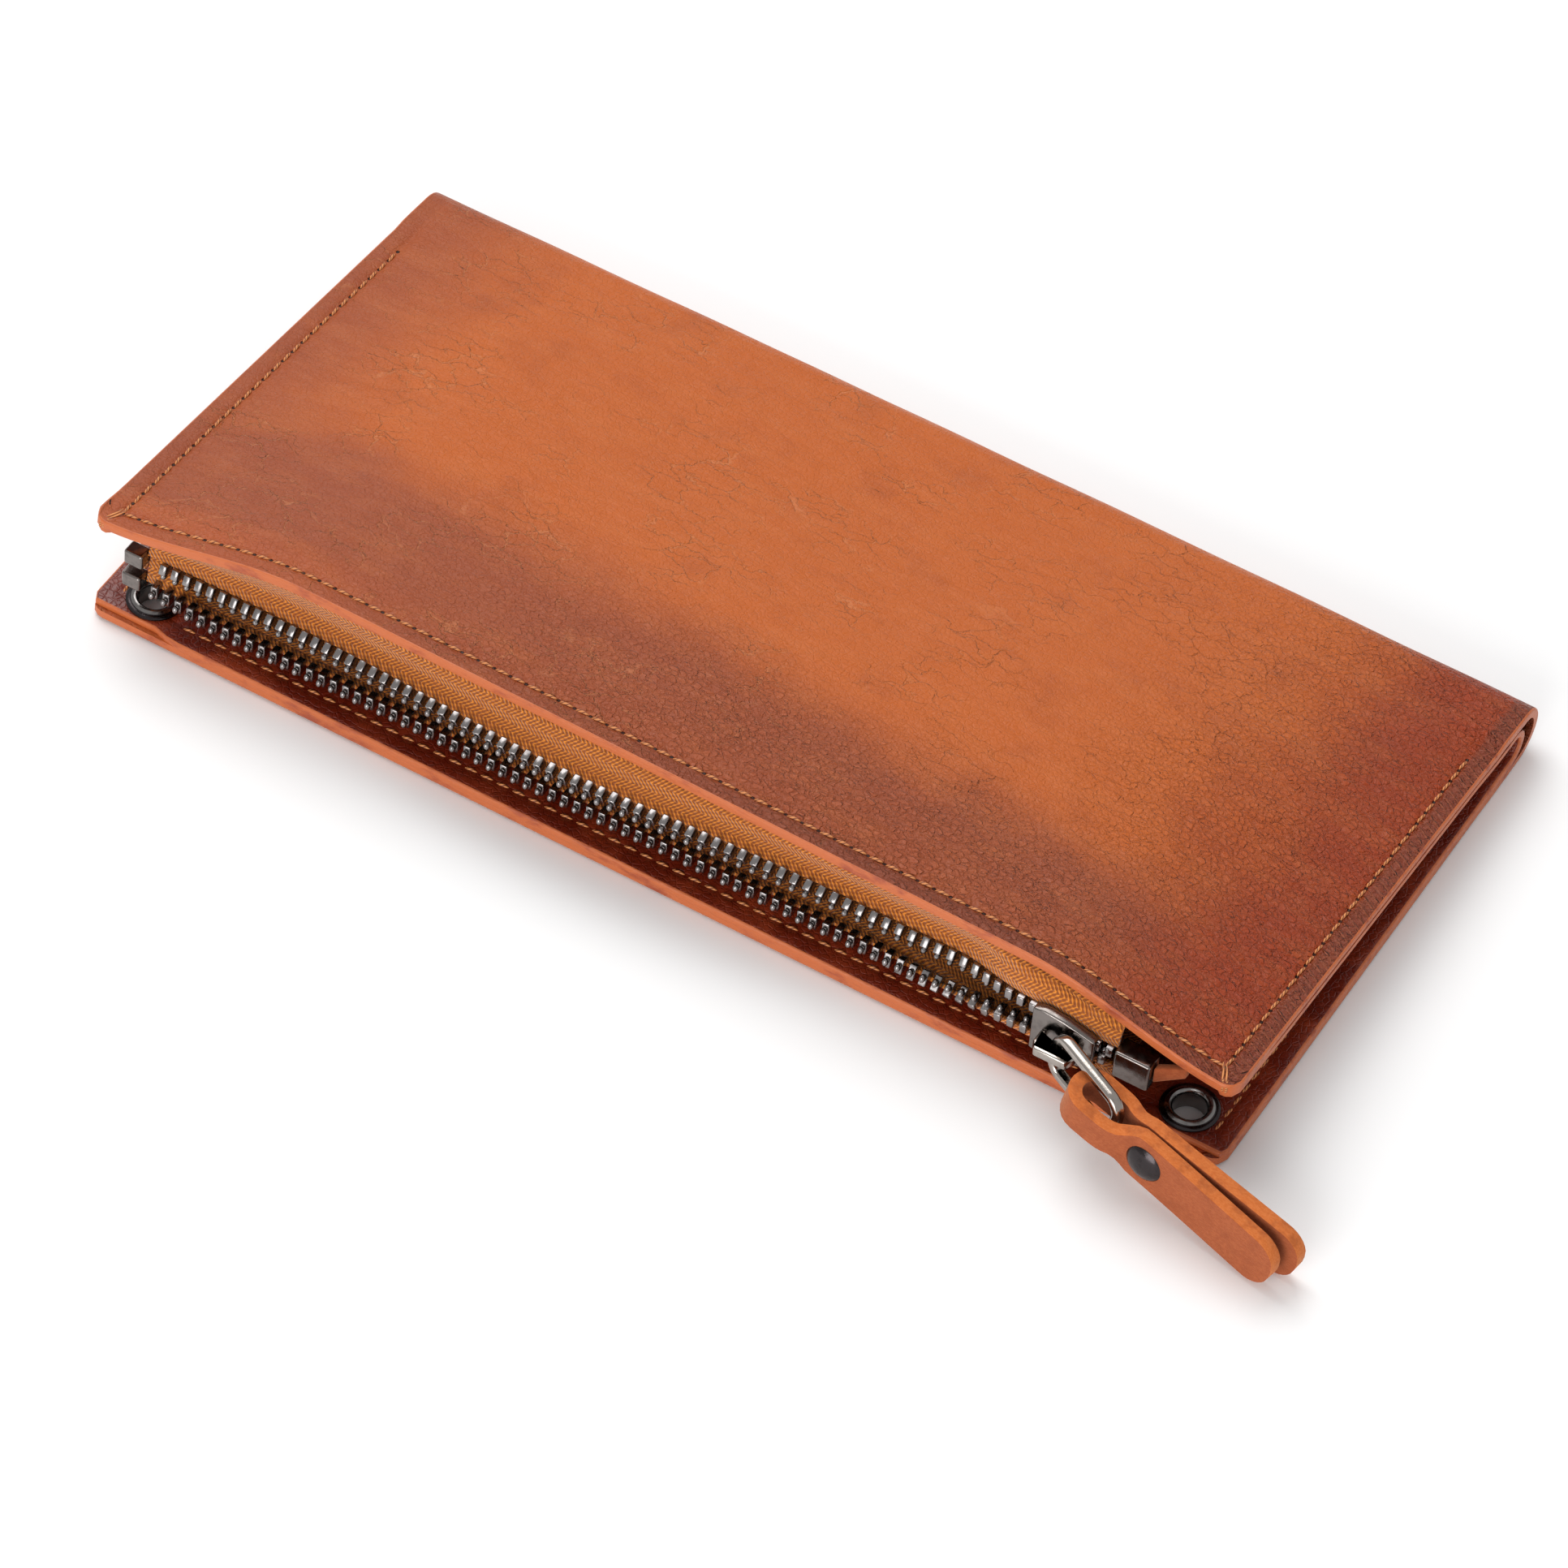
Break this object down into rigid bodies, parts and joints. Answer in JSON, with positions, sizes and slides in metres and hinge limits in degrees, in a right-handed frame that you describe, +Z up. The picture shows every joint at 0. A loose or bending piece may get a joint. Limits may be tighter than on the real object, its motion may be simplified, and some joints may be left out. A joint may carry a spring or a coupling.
{
  "type": "travel document organizer",
  "caption": "Long bifold leather travel wallet with a zipped pouch in its front half, card pockets and corner eyelets.",
  "frame": {"origin": "middle of the closed wallet's footprint, on the underside of the back cover", "axes": "+X along the fold, +Y towards the fold, -Y towards the zip, +Z up out of the closed wallet"},
  "size_m": [0.2085, 0.1131, 0.0238],
  "materials": {
    "cover_leather": "burnished orange-tan leather with darker red-brown patina, semi-gloss",
    "lining_leather": "dark red-brown glossy smooth leather",
    "strap_leather": "suede-like brown leather with lighter cut edges",
    "pouch_cloth": "thin plain-weave lining cloth",
    "zip_tape": "ochre herringbone zip tape",
    "thread": "waxed orange-tan thread",
    "dark_zip_metal": "polished dark gunmetal",
    "black_nickel": "polished black nickel"
  },
  "bodies": {
    "back_half": {"outer_cover_back": "cover_leather", "inner_lining_back": "lining_leather", "slip_pocket_panel": "lining_leather", "card_pocket_back": "lining_leather", "card_pocket_middle": "lining_leather", "card_pocket_front": "lining_leather", "card_pocket_thread": "thread", "back_thread_left": "thread", "back_thread_right": "thread", "back_thread_near": "thread", "eyelet_left": "black_nickel", "eyelet_right": "black_nickel", "eyelet_washer_left": "black_nickel", "eyelet_washer_right": "black_nickel"},
    "front_half": {"outer_cover_front": "cover_leather", "inner_lining_front": "lining_leather", "pouch_cloth_upper": "pouch_cloth", "pouch_cloth_lower": "pouch_cloth", "front_thread_near": "thread", "front_thread_left": "thread", "front_thread_right": "thread", "zip_tape_upper": "zip_tape", "zip_tape_lower": "zip_tape", "zip_teeth_upper": "dark_zip_metal", "zip_teeth_lower": "dark_zip_metal", "zip_top_stop_upper": "dark_zip_metal", "zip_top_stop_lower": "dark_zip_metal", "zip_end_box": "dark_zip_metal", "zip_end_tab": "zip_tape"},
    "zip_slider": {"slider_body": "dark_zip_metal", "slider_crown": "dark_zip_metal"},
    "pull_ring": {"pull_ring": "dark_zip_metal"},
    "pull_tab": {"pull_strap": "strap_leather", "rivet_cap": "black_nickel", "rivet_post": "black_nickel"}
  },
  "joints": [
    {"name": "cover_fold", "type": "hinge", "parent": "back_half", "child": "front_half", "pos_m": [0, 0.0495, 0.0049], "axis": [-1, 0, 0], "range_deg": [0, 174]},
    {"name": "slider_slide", "type": "slide", "parent": "front_half", "child": "zip_slider", "axis": [-1, 0, 0], "range_m": [-0.0025, 0.146], "deforming": ["zip_tape_upper", "zip_tape_lower", "zip_teeth_upper", "zip_teeth_lower"]},
    {"name": "ring_swing", "type": "hinge", "parent": "zip_slider", "child": "pull_ring", "pos_m": [0.0688, -0.051, 0.012], "axis": [0.131, -0.0564, 0.9898], "range_deg": [-140, 3]},
    {"name": "strap_swing", "type": "hinge", "parent": "pull_ring", "child": "pull_tab", "pos_m": [0.08153, -0.05648, 0.01], "axis": [0.131, -0.0564, 0.9898], "range_deg": [-25, 8]}
  ]
}
